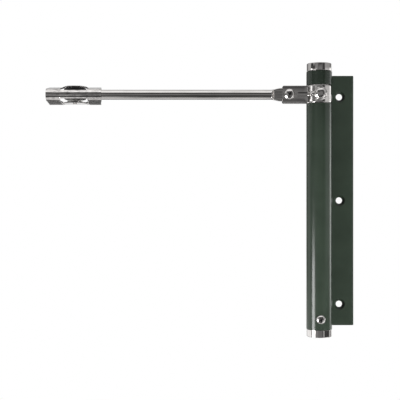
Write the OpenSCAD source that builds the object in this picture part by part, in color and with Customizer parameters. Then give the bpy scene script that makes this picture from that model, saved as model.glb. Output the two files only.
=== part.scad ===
// Spring door closer: a spring barrel with a screw-on flange, and a swinging arm with a roller.
// The origin is the middle screw hole on the flange's back face. +Y points into the door frame
// and +Z is up. Lengths are in millimetres, angles in degrees.

/* [Barrel] */
// Outside diameter of the barrel
barrel_d = 22; // [21:0.5:26]
// Wall of the barrel
barrel_wall = 1.5; // [1.2:0.1:1.8]
// Length of the barrel
barrel_len = 222; // [212:1:300]

/* [Flange] */
// Thickness of the flange
flange_t = 3; // [2.5:0.1:4]
// From the barrel's axis to the flange's free edge
flange_reach = 31; // [29:0.5:40]
// How far the flange stops short of each end of the barrel
flange_setback = 3; // [1:0.5:8]
// Rounding of the flange's free corners
flange_round = 1; // [0.5:0.1:4]

/* [Flange screw holes] */
// Distance between neighbouring holes
hole_pitch = 90; // [70:1:95]
// Diameter of each hole
hole_d = 5.5; // [4.5:0.1:6]
// Diameter of each countersink at the front face
hole_csk_d = 9.6; // [8.5:0.1:10.5]
// Depth of each countersink
hole_csk_h = 2.1; // [1.5:0.1:2.3]
// From the free edge to the centres of the holes
hole_edge = 12.5; // [8:0.5:13]

/* [Caps] */
// How far the rim of each cap stands inside the outside of the barrel
cap_step = 0.3; // [0.1:0.1:0.8]
// Height of each cap beyond the end of the barrel
cap_h = 6.5; // [4:0.5:10]
// Rounding of the outer edge of each cap
cap_round = 1.2; // [0.5:0.1:2]
// Length of the top cap's plug inside the barrel
plug_len = 4; // [2:0.5:5]

/* [Spindle and bushes] */
// Diameter of the spindle's journals
journal_d = 12; // [10:0.5:13]
// Length of the lower bush
lower_bush_len = 9; // [6:0.5:14]
// Thickness of the thrust washer
thrust_t = 0.8; // [0.5:0.1:1.5]
// Length of the spring anchor
anchor_len = 16; // [14:0.5:22]
// Thickness of the spring anchor's floor
anchor_floor = 7; // [6:0.5:9]
// Diameter of the anchor pin
anchor_pin_d = 3; // [2:0.5:4]

/* [Spring] */
// Wire diameter of the spring
wire_d = 3; // [2:0.1:3.2]
// Mean diameter of the spring's coil
coil_d = 13.5; // [12.5:0.5:14.5]
// Turns of the spring
turns = 32; // [20:1:34]
// Length of each straight end of the spring, in its hole
tang_len = 4.5; // [3:0.5:5]

/* [Tension adjuster] */
// Length of the adjuster inside the barrel
adjuster_len = 21; // [19:0.5:26]
// Width across the flats of its key socket
key_af = 5; // [4:0.5:5.2]
// Depth of its key socket
key_depth = 6; // [4:0.5:8]

/* [Lock screw] */
// From the lower end of the barrel up to the lock screw
lock_up = 10; // [8:0.5:12]
// Diameter of the lock screw
lock_d = 4; // [3:0.5:4.5]
// Diameter of its head
lock_head_d = 7.6; // [6.5:0.1:9]
// Height of its head
lock_head_h = 2.4; // [1.8:0.1:3]
// Depth of the groove that it runs in
lock_groove = 2.2; // [1.5:0.1:3]

/* [Clamp strap] */
// From the upper end of the barrel down to the arm's axis
arm_drop = 20; // [18:0.5:40]
// Height of the strap
strap_h = 15; // [13:0.5:17]
// Sheet thickness of the strap
strap_t = 1.8; // [1.4:0.1:2.2]
// From the barrel's axis to the end of the ears
ear_reach = 31.7; // [30.5:0.1:36]
// Gap between the ears
ear_gap = 4; // [3.5:0.1:4.5]
// Rounding of the ears' corners
ear_round = 1; // [0.5:0.1:3]

/* [Clamp screw] */
// Diameter of the clamp screw
clamp_d = 5; // [4:0.5:6]
// Diameter of its head
clamp_head_d = 9.3; // [8.5:0.1:10]
// Height of its head
clamp_head_h = 2.6; // [2:0.1:3]
// Width across the flats of its socket
clamp_key_af = 3; // [2.5:0.5:4]
// How far the seat under its head stands out of the strap
seat_h = 0.5; // [0.3:0.1:0.8]
// Depth of the clamp screw's hole in the spindle
clamp_bite = 6.5; // [5:0.5:7.5]

/* [Ear screw] */
// From the end of the ears to the ear screw
ear_edge = 5.9; // [5.5:0.1:6.5]
// Diameter of the ear screw
ear_screw_d = 5; // [4:0.5:6]
// Diameter of its head
ear_head_d = 9.2; // [8.5:0.1:10]
// Height of its head
ear_head_h = 3; // [2.4:0.1:3.4]
// Thickness of the spring washer
ear_washer_t = 1.2; // [0.8:0.1:1.3]
// Height of the nut
nut_h = 3.6; // [3:0.1:3.8]
// Width across the flats of the nut
nut_af = 8; // [7.5:0.5:9]

/* [Arm] */
// Diameter of the arm's rod
rod_d = 8.5; // [7.5:0.1:9]
// Height of the arm's flattened end
flat_h = 11.2; // [10:0.1:12]
// From the ear screw to the tip of the flattened end
flat_tip = 8.8; // [7.5:0.1:9.2]
// Bevel of the flattened end's corners
flat_bevel = 2; // [1:0.1:3]
// From the end of the ears to where the flattened end starts to narrow
flat_clear = 1.5; // [1:0.1:3]
// From there to where it meets the round rod
flat_taper = 5.5; // [4.5:0.1:8]
// Length of the rod's cone that runs into the flattened end
flat_cone = 2.5; // [2:0.1:4]
// From the barrel's axis to the roller's axle
roller_at = 210.8; // [150:0.1:260]

/* [Roller yoke] */
// Length of the yoke along the arm
yoke_len = 47.5; // [44:0.5:60]
// Depth of the yoke behind the arm's axis
yoke_depth = 12.8; // [12:0.1:15]
// Sheet thickness of the yoke
yoke_t = 1; // [0.8:0.1:1.2]
// Angle that each leg opens by
leg_open = 10; // [8:0.5:11]
// Half the outside width across the lobes that hold the axle
lobe_half = 7.4; // [7.2:0.1:8]
// Radius of each lobe
lobe_r = 9; // [8.5:0.1:9.4]
// Half the height of the web between the windows
web_half = 3.3; // [2.5:0.1:3.8]
// Half the length of the windows
window_half = 12; // [11.5:0.1:14]

/* [Roller] */
// Diameter of the roller
roller_d = 19.2; // [18:0.1:19.6]
// Rounding of the roller's rim
roller_round = 1.4; // [0.8:0.1:2.5]
// From the arm's axis back to the roller's axle
roller_back = 7.6; // [7.4:0.1:8.2]
// Diameter of the axle
axle_d = 4; // [3:0.5:4.5]
// Diameter of the axle's head
axle_head_d = 7; // [6:0.5:8]
// Height of the axle's head
axle_head_h = 1; // [0.8:0.1:1.6]
// Wall of the roller's bush
bush_wall = 1.2; // [0.8:0.1:1.6]
// Diameter of the washer under the roller
washer_d = 13.4; // [12:0.1:15]
// Thickness of the washer under the roller
washer_t = 2.1; // [1:0.1:2.6]

/* [Hidden] */
$fn = 96;

green = "#3c4a3d";
chrome = "#c9c6c1";
steel = "#9a9a98";
black = "#1b1b1c";
bronze = "#b08d57";

// Clearances: within one moving body, between running parts, and to open space
fit = 0.03;
run = 0.1;
free = 0.3;
// Extra length of a cut beyond the face that it opens
over = 1;

barrel_r = barrel_d / 2;
bore_r = barrel_r - barrel_wall;
half_len = barrel_len / 2;
barrel_x = hole_edge - flange_reach;
barrel_y = -barrel_r;
arm_z = half_len - arm_drop;
cap_r = barrel_r - cap_step;

// The clamp grips the spindle's neck, in a groove cut right round the barrel. It stays inside
// the barrel's outline, clear of the door frame.
shank_r = bore_r - run;
neck_r = min(shank_r, barrel_r - strap_t - 0.2);
neck_half = strap_h / 2 + 1;
groove_half = strap_h / 2 + 0.5;
strap_bore_r = neck_r + fit;
strap_r = strap_bore_r + strap_t;
groove_r = strap_r + 0.5;
ear_half = ear_gap / 2 + strap_t;
seat_r = clamp_head_d / 2 + 0.6;
seat_y = -strap_r - seat_h;

journal_r = journal_d / 2;
neck_top = arm_z + neck_half;
neck_low = arm_z - neck_half;
plug_z = half_len - plug_len;
thrust_z = neck_low - run - thrust_t;
lower_bush_z = thrust_z - lower_bush_len;
anchor_top = lower_bush_z - free;
anchor_z = anchor_top - anchor_len;
anchor_r = bore_r - 0.4;
spindle_z = anchor_z + anchor_floor + run;
clamp_tip = neck_r - clamp_bite;
ear_screw_at = ear_reach - ear_edge;

adjuster_top = adjuster_len - half_len;
lock_z = lock_up - half_len;
lock_groove_r = shank_r - lock_groove;
lock_head_y = -barrel_r - run;

rod_r = rod_d / 2;
rod_end = roller_at - roller_d / 2 - 3;
yoke_in_r = rod_r + 0.05;
yoke_out_r = yoke_in_r + yoke_t;
lobe_in = lobe_half - yoke_t;
lobe_depth = yoke_depth - 0.8;
axle_r = axle_d / 2;
roller_low = washer_t - lobe_in + run;
roller_h = lobe_in - free - roller_low;
bush_r = axle_r + run + bush_wall;

module at_barrel(z = 0) {
    translate([barrel_x, barrel_y, z]) children();
}

module at_arm() {
    at_barrel(arm_z) children();
}

// Places children on the roller's axle, level with the arm's axis
module at_axle() {
    at_arm() translate([-roller_at, roller_back, 0]) children();
}

// A round bar or hole along Y, from y_front to y_back
module along_y(r, y_front, y_back) {
    translate([0, y_back, 0]) rotate([90, 0, 0]) cylinder(r = r, h = y_back - y_front);
}

// A ring standing on z = 0
module ring(r_out, r_in, h) {
    difference() {
        cylinder(r = r_out, h = h);
        translate([0, 0, -over]) cylinder(r = r_in, h = h + 2 * over);
    }
}

// A disc on z = 0 whose upper edge is rounded
module round_disc(r, h, edge) {
    rotate_extrude() {
        square([r, h - edge]);
        square([r - edge, h]);
        translate([r - edge, h - edge]) intersection() {
            circle(r = edge, $fn = 48);
            square(edge);
        }
    }
}

// A low domed screw head on z = 0, its crown upwards
module domed_head(d, h) {
    rim = 0.35 * h;
    crown = h - rim;
    ball = (pow(d / 2, 2) + pow(crown, 2)) / (2 * crown);
    intersection() {
        cylinder(d = d, h = h);
        translate([0, 0, h - ball]) sphere(r = ball);
    }
}

// A cross recess cut down from z = 0
module cross_recess(d, depth) {
    for (turn = [45, 135])
        rotate(turn) translate([-0.3 * d, -0.07 * d, -depth]) cube([0.6 * d, 0.14 * d, depth + over]);
}

// A screw head whose seat is the plane y, its crown towards -Y
module head_at(y) {
    translate([0, y, 0]) rotate([90, 0, 0]) children();
}

module flange_plate() {
    height = barrel_len - 2 * flange_setback;
    corner = flange_round;
    translate([barrel_x, 0, 0]) rotate([90, 0, 0]) linear_extrude(flange_t) union() {
        translate([0, -height / 2]) square([flange_reach - corner, height]);
        translate([0, corner - height / 2]) square([flange_reach, height - 2 * corner]);
        for (side = [-1, 1])
            translate([flange_reach - corner, side * (height / 2 - corner)]) circle(r = corner);
    }
}

module flange_hole() {
    along_y(hole_d / 2, -flange_t - over, over);
    translate([0, hole_csk_h - flange_t, 0]) rotate([90, 0, 0])
        cylinder(d1 = hole_d, d2 = hole_csk_d, h = hole_csk_h);
    along_y(hole_csk_d / 2, -flange_t - over, -flange_t);
}

module barrel() {
    color(green) difference() {
        union() {
            at_barrel(-half_len) cylinder(r = barrel_r, h = barrel_len);
            flange_plate();
        }
        at_barrel(-half_len - over) cylinder(r = bore_r, h = barrel_len + 2 * over);
        at_barrel(arm_z - groove_half) cylinder(r = groove_r, h = 2 * groove_half);
        at_barrel(lock_z) along_y(lock_d / 2 + run, -barrel_r - over, 0);
        for (row = [-1:1]) translate([0, 0, row * hole_pitch]) flange_hole();
    }
}

module top_cap() {
    color(chrome) at_barrel() {
        translate([0, 0, half_len]) round_disc(cap_r, cap_h, cap_round);
        translate([0, 0, plug_z]) cylinder(r = bore_r - fit, h = plug_len);
    }
}

module upper_bush() {
    z = neck_top + run;
    color(bronze) at_barrel(z) ring(bore_r - fit, journal_r + run, plug_z - z);
}

module lower_bush() {
    color(bronze) at_barrel(lower_bush_z) ring(bore_r - fit, journal_r + run, lower_bush_len);
}

module thrust_washer() {
    color(steel) at_barrel(thrust_z) ring(bore_r - free, journal_r + run, thrust_t);
}

module spindle() {
    color(steel) at_barrel() difference() {
        union() {
            translate([0, 0, neck_low]) cylinder(r = neck_r, h = 2 * neck_half);
            translate([0, 0, spindle_z]) cylinder(r = journal_r, h = plug_z - free - spindle_z);
        }
        translate([0, 0, arm_z]) along_y(clamp_d / 2 + fit, -neck_r - over, -clamp_tip);
        translate([0, 0, (spindle_z + anchor_top) / 2]) along_y(anchor_pin_d / 2 + fit, -neck_r, neck_r);
    }
}

module spring_anchor() {
    color(steel) at_barrel() difference() {
        translate([0, 0, anchor_z]) cylinder(r = anchor_r, h = anchor_len);
        translate([0, 0, anchor_z + anchor_floor]) cylinder(r = journal_r + fit, h = anchor_len);
        translate([0, 0, (spindle_z + anchor_top) / 2])
            along_y(anchor_pin_d / 2 + fit, -barrel_r, barrel_r);
        rotate(turns * 360) translate([coil_d / 2, 0, anchor_z - over])
            cylinder(d = wire_d + free, h = tang_len + over + free);
    }
}

module anchor_pin() {
    color(steel) at_barrel((spindle_z + anchor_top) / 2)
        along_y(anchor_pin_d / 2, free - anchor_r, anchor_r - free);
}

// The spring's centre line, unrolled: distance round the coil, and height. Each end has a
// straight tang, a bend of one wire diameter, and the helix between.
coil_r = coil_d / 2;
rings_per_turn = 8;
bend_r = wire_d;
bend_steps = 4;
low_bend = [
    for (step = [0:bend_steps - 1])
        [bend_r * (1 - cos(90 * step / bend_steps)), bend_r * sin(90 * step / bend_steps)]
];
spring_low = adjuster_top + free;
spring_high = anchor_z - free;
round_total = turns * 2 * PI * coil_r;
helix_rings = turns * rings_per_turn;
helix_start = [bend_r, spring_low + bend_r];
helix_end = [round_total - bend_r, spring_high - bend_r];
unrolled = concat(
    [[0, adjuster_top - tang_len]],
    [for (p = low_bend) [p.x, spring_low + p.y]],
    [for (i = [0:helix_rings]) helix_start + (helix_end - helix_start) * i / helix_rings],
    [for (i = [bend_steps - 1:-1:0]) [round_total - low_bend[i].x, spring_high - low_bend[i].y]],
    [[round_total, anchor_z + tang_len]]
);

function outward(p) = [cos(p.x / coil_r * 180 / PI), sin(p.x / coil_r * 180 / PI), 0];
function on_coil(p) = coil_r * outward(p) + [0, 0, p.y];
function unit(v) = v / norm(v);
spring_points = [for (p = unrolled) on_coil(p)];
last = len(spring_points) - 1;

function along(i) = unit(spring_points[min(i + 1, last)] - spring_points[max(i - 1, 0)]);
function flattened(v, normal) = unit(v - (v * normal) * normal);

// One closed tube swept along points, its rings turned to the axis of the coil
module swept_wire(sides, r) {
    rings = [
        for (i = [0:last])
            let (t = along(i), n = flattened(outward(unrolled[i]), t), b = cross(t, n))
                for (k = [0:sides - 1])
                    spring_points[i] + r * (cos(360 * k / sides) * n + sin(360 * k / sides) * b)
    ];
    walls = [
        for (i = [0:last - 1], k = [0:sides - 1])
            let (a = i * sides + k, b = i * sides + (k + 1) % sides)
                each [[a, a + sides, b], [b, a + sides, b + sides]]
    ];
    low_end = [for (k = [1:sides - 2]) [0, k, k + 1]];
    high_end = [for (k = [1:sides - 2]) [last * sides, last * sides + k + 1, last * sides + k]];
    polyhedron(points = rings, faces = concat(walls, low_end, high_end), convexity = 10);
}

module torsion_spring() {
    color(steel) at_barrel() swept_wire(6, wire_d / 2);
}

// The least gap between points of the wire that are half a turn or more apart
spring_gap = min([
    for (i = [0:last], j = [i + rings_per_turn / 2:last])
        norm(spring_points[i] - spring_points[j])
]) - wire_d;
echo(spring_gap = spring_gap);

module tension_adjuster() {
    color(chrome) at_barrel() difference() {
        union() {
            translate([0, 0, -half_len - run]) mirror([0, 0, 1]) round_disc(cap_r, cap_h, cap_round);
            translate([0, 0, -half_len - run]) cylinder(r = shank_r, h = adjuster_len + run);
        }
        translate([0, 0, lock_z - lock_d / 2 - free]) ring(bore_r, lock_groove_r, lock_d + 2 * free);
        translate([0, 0, -half_len - cap_h - over])
            cylinder(r = key_af / sqrt(3), h = key_depth + over, $fn = 6);
        translate([coil_r, 0, adjuster_top - tang_len - free])
            cylinder(d = wire_d + free, h = tang_len + free + over);
    }
}

module lock_screw() {
    color(chrome) at_barrel(lock_z) {
        along_y(lock_d / 2, lock_head_y, -lock_groove_r - run);
        head_at(lock_head_y) difference() {
            domed_head(lock_head_d, lock_head_h);
            translate([0, 0, lock_head_h]) cross_recess(lock_head_d, 0.5 * lock_head_h);
        }
    }
}

module ear_outline() {
    height = strap_h - 2 * ear_round;
    translate([-ear_reach, -height / 2]) square([ear_reach, height]);
    translate([ear_round - ear_reach, -strap_h / 2]) square([ear_reach - ear_round, strap_h]);
    for (side = [-1, 1])
        translate([ear_round - ear_reach, side * height / 2]) circle(r = ear_round);
}

module clamp_strap() {
    color(chrome) at_arm() difference() {
        union() {
            translate([0, 0, -strap_h / 2]) cylinder(r = strap_r, h = strap_h);
            translate([0, ear_half, 0]) rotate([90, 0, 0]) linear_extrude(2 * ear_half) ear_outline();
            along_y(seat_r, seat_y, 0);
        }
        translate([0, 0, -strap_h / 2 - over]) cylinder(r = strap_bore_r, h = strap_h + 2 * over);
        translate([-ear_reach - over, -ear_gap / 2, -strap_h / 2 - over])
            cube([ear_reach + over, ear_gap, strap_h + 2 * over]);
        along_y(clamp_d / 2 + fit, seat_y - over, 0);
        translate([-ear_screw_at, 0, 0]) along_y(ear_screw_d / 2 + fit, -ear_half - over, ear_half + over);
    }
}

module clamp_screw() {
    color(chrome) at_arm() {
        along_y(clamp_d / 2, seat_y, -clamp_tip - free);
        head_at(seat_y) difference() {
            domed_head(clamp_head_d, clamp_head_h);
            translate([0, 0, 0.45 * clamp_head_h])
                cylinder(r = clamp_key_af / sqrt(3), h = clamp_head_h, $fn = 6);
        }
    }
}

module at_ear_screw() {
    at_arm() translate([-ear_screw_at, 0, 0]) children();
}

module ear_screw() {
    color(chrome) at_ear_screw() {
        along_y(ear_screw_d / 2, -ear_half, ear_half + ear_washer_t + nut_h + 0.5);
        head_at(-ear_half) difference() {
            domed_head(ear_head_d, ear_head_h);
            translate([0, 0, ear_head_h]) cross_recess(ear_head_d, 0.5 * ear_head_h);
        }
    }
}

module ear_washer() {
    color(steel) at_ear_screw() difference() {
        along_y(0.52 * nut_af, ear_half, ear_half + ear_washer_t);
        along_y(ear_screw_d / 2 + fit, ear_half - over, ear_half + ear_washer_t + over);
    }
}

module ear_nut() {
    y = ear_half + ear_washer_t;
    color(steel) at_ear_screw() difference() {
        translate([0, y + nut_h, 0]) rotate([90, 0, 0]) cylinder(r = nut_af / sqrt(3), h = nut_h, $fn = 6);
        along_y(ear_screw_d / 2 + fit, y - over, y + nut_h + over);
    }
}

module arm_rod() {
    thickness = ear_gap - run;
    widest = -ear_reach - flat_clear;
    root = widest - flat_taper - flat_cone;
    tip = flat_tip - ear_screw_at;
    rod_len = rod_end + root;
    upper = [
        [root, rod_r - free],
        [widest, flat_h / 2],
        [tip - flat_bevel, flat_h / 2],
        [tip, flat_h / 2 - flat_bevel]
    ];
    lower = [for (i = [len(upper) - 1:-1:0]) [upper[i].x, -upper[i].y]];
    half_rod = [
        [0, 0],
        [rod_r, 0],
        [rod_r, rod_len],
        [thickness / 2, rod_len + flat_cone],
        [0, rod_len + flat_cone]
    ];
    color(chrome) at_arm() difference() {
        union() {
            translate([-rod_end, 0, 0]) rotate([0, 90, 0]) rotate_extrude() polygon(half_rod);
            translate([0, thickness / 2, 0]) rotate([90, 0, 0]) linear_extrude(thickness)
                polygon(concat(upper, lower));
        }
        translate([-ear_screw_at, 0, 0]) along_y(ear_screw_d / 2 + run, -ear_gap, ear_gap);
    }
}

// The filled outline of a bend of radius r whose two legs open towards reach
module channel_outline(r, reach) {
    tangent = [-r * sin(leg_open), r * cos(leg_open)];
    tip = [reach, tangent.y + (reach - tangent.x) * tan(leg_open)];
    circle(r = r);
    polygon([tangent, tip, [tip.x, -tip.y], [tangent.x, -tangent.y]]);
}

// A stretch of the pressed channel, from x_left to x_right of the axle
module channel(x_left, x_right) {
    translate([x_left, 0, 0]) rotate([90, 0, 90]) linear_extrude(x_right - x_left) difference() {
        channel_outline(yoke_out_r, yoke_depth);
        channel_outline(yoke_in_r, yoke_depth + over);
    }
}

// One flat lobe that holds an end of the axle, and the two steps that join it to the legs
module lobe() {
    step = 0.2;
    shoulder = 6;
    depth = lobe_depth - shoulder;
    translate([0, 0, lobe_in]) linear_extrude(yoke_t) {
        translate([0, roller_back]) circle(r = lobe_r);
        translate([-lobe_r, roller_back]) square([2 * lobe_r, lobe_depth - roller_back]);
    }
    for (side = [-1, 1]) hull() {
        translate([side * lobe_r - step / 2, shoulder, lobe_in]) cube([step, depth, yoke_t]);
        intersection() {
            channel(side * window_half - step / 2, side * window_half + step / 2);
            translate([side * window_half - step, shoulder, 0]) cube([2 * step, depth, 2 * lobe_half]);
        }
    }
}

module roller_yoke() {
    color(chrome) at_arm() translate([-roller_at, 0, 0]) difference() {
        union() {
            channel(-yoke_len / 2, -window_half);
            channel(window_half, yoke_len / 2);
            intersection() {
                channel(-window_half - over, window_half + over);
                translate([-window_half - over, -yoke_out_r - over, -web_half])
                    cube([2 * (window_half + over), yoke_out_r + over, 2 * web_half]);
            }
            lobe();
            mirror([0, 0, 1]) lobe();
        }
        translate([0, roller_back, -lobe_half - over]) cylinder(r = axle_r + fit, h = 2 * (lobe_half + over));
    }
}

module roller_axle() {
    color(chrome) at_axle() {
        translate([0, 0, -lobe_half]) cylinder(r = axle_r, h = 2 * lobe_half);
        translate([0, 0, lobe_half]) domed_head(axle_head_d, axle_head_h);
    }
}

module axle_washer() {
    color(chrome) at_axle() translate([0, 0, -lobe_in]) ring(washer_d / 2, axle_r + fit, washer_t);
}

module roller() {
    edge = roller_round;
    r = roller_d / 2;
    color(black) at_axle() translate([0, 0, roller_low]) difference() {
        union() {
            translate([0, 0, roller_h / 2]) round_disc(r, roller_h / 2, edge);
            translate([0, 0, roller_h / 2]) mirror([0, 0, 1]) round_disc(r, roller_h / 2, edge);
        }
        translate([0, 0, -over]) cylinder(r = bush_r + fit, h = roller_h + 2 * over);
    }
}

module roller_bush() {
    color(bronze) at_axle() translate([0, 0, roller_low]) ring(bush_r, axle_r + run, roller_h);
}

barrel();
top_cap();
upper_bush();
lower_bush();
thrust_washer();
torsion_spring();
tension_adjuster();
lock_screw();
spindle();
spring_anchor();
anchor_pin();
clamp_strap();
clamp_screw();
ear_screw();
ear_washer();
ear_nut();
arm_rod();
roller_yoke();
roller_axle();
axle_washer();
roller();
roller_bush();
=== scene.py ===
"""Spring door closer: the visible pieces, their finishes and the studio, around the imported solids.

Blender's lengths are metres. The sizes below are millimetres, and turn into metres where a mesh is
made. The arm's pieces are drawn round the barrel's axis at the arm's height, and then put there.
"""

import math

import bmesh
import bpy
import numpy as np
from mathutils import Matrix, Vector


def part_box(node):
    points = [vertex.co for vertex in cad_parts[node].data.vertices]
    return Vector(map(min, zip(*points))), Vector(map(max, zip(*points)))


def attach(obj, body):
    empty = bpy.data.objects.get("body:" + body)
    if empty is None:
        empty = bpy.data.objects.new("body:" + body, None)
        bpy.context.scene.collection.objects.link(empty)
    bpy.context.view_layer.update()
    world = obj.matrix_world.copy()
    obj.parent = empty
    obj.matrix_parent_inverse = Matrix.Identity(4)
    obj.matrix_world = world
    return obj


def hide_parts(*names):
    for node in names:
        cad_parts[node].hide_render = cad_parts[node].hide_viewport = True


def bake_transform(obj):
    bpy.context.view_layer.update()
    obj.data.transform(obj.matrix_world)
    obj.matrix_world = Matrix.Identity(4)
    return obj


bl_info = {
    "name": "Spring Door Closer",
    "version": (1, 0, 0),
    "blender": (4, 5, 0),
    "location": "3D View > Sidebar > Door Closer",
    "description": "Builds the visible pieces of a spring door closer with a roller arm",
    "category": "Add Mesh",
}

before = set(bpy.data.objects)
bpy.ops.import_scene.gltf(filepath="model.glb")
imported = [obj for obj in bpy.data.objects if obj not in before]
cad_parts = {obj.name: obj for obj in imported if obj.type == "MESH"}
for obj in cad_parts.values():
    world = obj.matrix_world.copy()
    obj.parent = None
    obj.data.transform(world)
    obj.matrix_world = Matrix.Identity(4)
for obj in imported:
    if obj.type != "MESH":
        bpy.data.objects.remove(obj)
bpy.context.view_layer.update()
MM = 0.001


# Sizes read from the frame


def node_box(node):
    """The lowest and highest corner of a node, in millimetres."""
    low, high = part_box(node)
    return low / MM, high / MM


def node_radius(node):
    """The radius of a round node, from its width."""
    low, high = node_box(node)
    return (high.x - low.x) / 2


CAP_LOW, CAP_HIGH = node_box("top_cap")
BARREL_LOW, BARREL_HIGH = node_box("barrel")
ADJUSTER_LOW, ADJUSTER_HIGH = node_box("tension_adjuster")
LOCK_LOW, LOCK_HIGH = node_box("lock_screw")
STRAP_LOW, STRAP_HIGH = node_box("clamp_strap")
EAR_LOW, EAR_HIGH = node_box("ear_screw")
WASHER_LOW, WASHER_HIGH = node_box("ear_washer")
NUT_LOW, NUT_HIGH = node_box("ear_nut")
ROD_LOW, ROD_HIGH = node_box("arm_rod")
YOKE_LOW, YOKE_HIGH = node_box("roller_yoke")
AXLE_LOW, AXLE_HIGH = node_box("roller_axle")
ROLLER_LOW, ROLLER_HIGH = node_box("roller")
SPRING_LOW, SPRING_HIGH = node_box("torsion_spring")
SPACER_LOW = node_box("axle_washer")[0]
ANCHOR_LOW = node_box("spring_anchor")[0]

AXIS_X = (CAP_LOW.x + CAP_HIGH.x) / 2
AXIS_Y = (CAP_LOW.y + CAP_HIGH.y) / 2
ARM_Z = (STRAP_LOW.z + STRAP_HIGH.z) / 2
LOCK_Z = (LOCK_LOW.z + LOCK_HIGH.z) / 2
BARREL_R = AXIS_X - BARREL_LOW.x
BORE_R = node_radius("upper_bush")
STRAP_R = STRAP_HIGH.x - AXIS_X
EAR_REACH = AXIS_X - STRAP_LOW.x
EAR_X = (EAR_LOW.x + EAR_HIGH.x) / 2
AXLE_X = (AXLE_LOW.x + AXLE_HIGH.x) / 2
AXLE_Y = (AXLE_LOW.y + AXLE_HIGH.y) / 2

# The tube's ends as the photograph shows them, a little inside the solid
BARREL_TOP = BARREL_HIGH.z - 0.6
BARREL_FOOT = BARREL_LOW.z + 1.0

# Sizes that the solids have too
FIT = 0.03
HOLE_PITCH = 90.0
FLANGE_THICKNESS = 3.0
CLAMP_SEAT = -(STRAP_R + 0.5)
HEAD_RIM = 0.35
AXLE_R = 2.0


def cylinder_matrix(x, y, z):
    """Puts a part that was turned round Z at a point, still upright."""
    return Matrix.Translation(Vector((x, y, z)) * MM)


def facing_matrix(x, y, z):
    """Puts a part that was turned round Z at a point, its top towards the front."""
    return cylinder_matrix(x, y, z) @ Matrix.Rotation(math.pi / 2, 4, "X")


# Node trees


def math_operator(operation, swapped=False):
    """A method of Socket that adds one Math node of two values."""

    def method(self, other):
        values = (other, self) if swapped else (self, other)
        return self.maths(operation, *values)

    return method


class Socket:
    """An output socket that takes Python's arithmetic and adds the Math nodes for it."""

    def __init__(self, nodes, socket):
        self.nodes = nodes
        self.socket = socket

    def out(self, name):
        """Another output of the same node."""
        return Socket(self.nodes, self.socket.node.outputs[name])

    def maths(self, operation, *values):
        """A Math node of sockets and numbers."""
        return self.nodes.add("ShaderNodeMath", dict(enumerate(values)), operation=operation)

    __add__ = math_operator("ADD")
    __radd__ = math_operator("ADD", swapped=True)
    __sub__ = math_operator("SUBTRACT")
    __rsub__ = math_operator("SUBTRACT", swapped=True)
    __mul__ = math_operator("MULTIPLY")
    __rmul__ = math_operator("MULTIPLY", swapped=True)
    __truediv__ = math_operator("DIVIDE")
    __pow__ = math_operator("POWER")
    __lt__ = math_operator("LESS_THAN")

    def __neg__(self):
        return self * -1.0

    def __abs__(self):
        return self.maths("ABSOLUTE", self)

    def ramp(self, low, high):
        """0 below low, 1 above high, and a smooth step between them. low may be the larger."""
        sockets = {"Value": self, "From Min": low, "From Max": high}
        return self.nodes.add("ShaderNodeMapRange", sockets, interpolation_type="SMOOTHSTEP")


class Nodes:
    """Adds nodes to one tree."""

    def __init__(self, tree):
        self.tree = tree

    def add(self, kind, sockets=None, output=0, **settings):
        """One node: its type, the values or links of its sockets, and its settings."""
        node = self.tree.nodes.new(kind)
        for key, value in settings.items():
            setattr(node, key, value)
        for key, value in (sockets or {}).items():
            if isinstance(value, Socket):
                self.tree.links.new(value.socket, node.inputs[key])
            else:
                node.inputs[key].default_value = value
        return Socket(self, node.outputs[output]) if node.outputs else node

    def apart(self, vector):
        """The X, Y and Z of a vector, as outputs with these names."""
        return self.add("ShaderNodeSeparateXYZ", {0: vector})

    def mix_colour(self, amount, first, second):
        """A blend of two colours, as a colour socket."""
        return self.add(
            "ShaderNodeMix", {0: amount, 6: first, 7: second}, output=2, data_type="RGBA"
        )

    def place(self, stretch=(1.0, 1.0, 1.0)):
        """Object coordinates, stretched for a pattern."""
        spot = self.add("ShaderNodeTexCoord").out("Object")
        return self.add("ShaderNodeMapping", {"Vector": spot, "Scale": stretch})

    def noise(self, scale, detail=2.0, roughness=0.5, stretch=(1.0, 1.0, 1.0)):
        """Noise from 0 to 1. The scale is the number of spots in a metre."""
        sockets = {"Scale": scale, "Detail": detail, "Roughness": roughness}
        return self.add("ShaderNodeTexNoise", {"Vector": self.place(stretch), **sockets})

    def bump(self, height, strength, distance):
        """A normal from a height. The distance is the depth of a height of 1, in metres."""
        return self.add(
            "ShaderNodeBump", {"Height": height, "Strength": strength, "Distance": distance}
        )


def new_material(name):
    """Adds an empty material. The result is the builder of its nodes."""
    material = bpy.data.materials.new(name)
    material.use_nodes = True
    material.node_tree.nodes.clear()
    return Nodes(material.node_tree)


def principled(nodes, sockets):
    """Ends a finish in one Principled BSDF with these sockets."""
    surface = nodes.add("ShaderNodeBsdfPrincipled", sockets)
    nodes.add("ShaderNodeOutputMaterial", {"Surface": surface})


def rgba(colour, level=1.0):
    return (*(part * level for part in colour), 1.0)


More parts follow.
